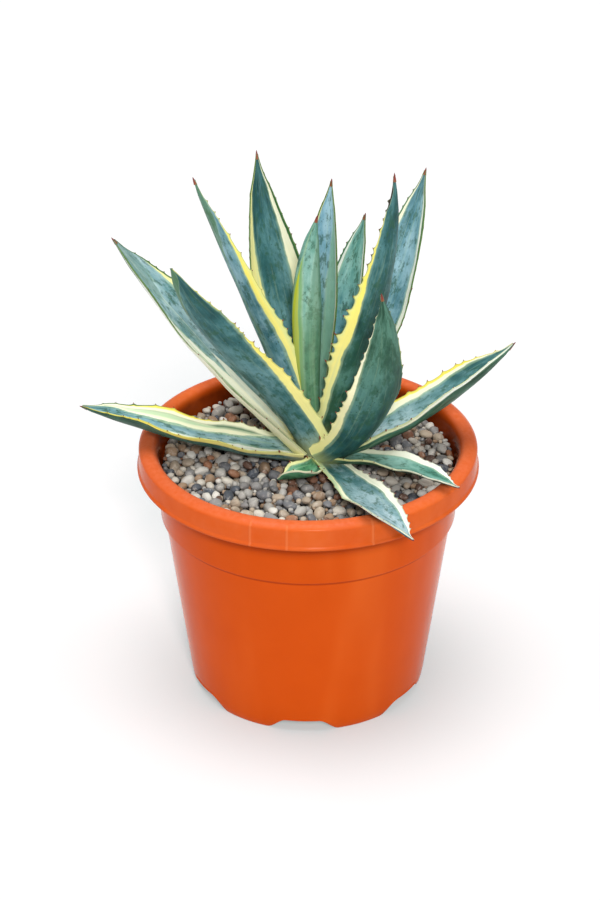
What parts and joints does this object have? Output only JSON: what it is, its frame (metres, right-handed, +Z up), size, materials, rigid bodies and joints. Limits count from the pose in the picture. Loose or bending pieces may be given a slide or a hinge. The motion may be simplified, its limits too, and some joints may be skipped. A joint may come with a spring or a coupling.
{
  "type": "potted agave",
  "caption": "Variegated agave rosette with toothed, spine-tipped leaves in a round tapered plastic pot topped with gravel.",
  "frame": {"origin": "on the pot's axis at floor level, in the middle of the flat pad under the pot", "axes": "+Z up along the pot's axis, -Y towards the front, +X to the right seen from the front"},
  "size_m": [0.3165, 0.2734, 0.4111],
  "materials": {
    "pot": "glossy orange",
    "soil": "crumbly, dark brown",
    "gravel": "rounded pea gravel, mixed grey, cream and tan",
    "stem": "pale green, matte",
    "leaf": "waxy blue-green with yellow and cream margins"
  },
  "bodies": {
    "root": {"pot": "pot", "soil": "soil", "gravel": "gravel", "stem": "stem", "leaf_bud_front": "leaf", "leaf_bud_back": "leaf", "leaf_back_small": "leaf", "leaf_back_tall": "leaf", "leaf_left_upright": "leaf", "leaf_right_upright": "leaf", "leaf_back_right": "leaf", "leaf_left_front": "leaf", "leaf_right_front": "leaf", "leaf_left_mid": "leaf", "leaf_right_long": "leaf", "leaf_left_low": "leaf", "leaf_right_low": "leaf", "leaf_front_low": "leaf", "leaf_front_short": "leaf", "leaf_rear_high": "leaf", "leaf_rear_low": "leaf", "leaf_rear_right": "leaf", "leaf_rear_left": "leaf"}
  },
  "joints": []
}
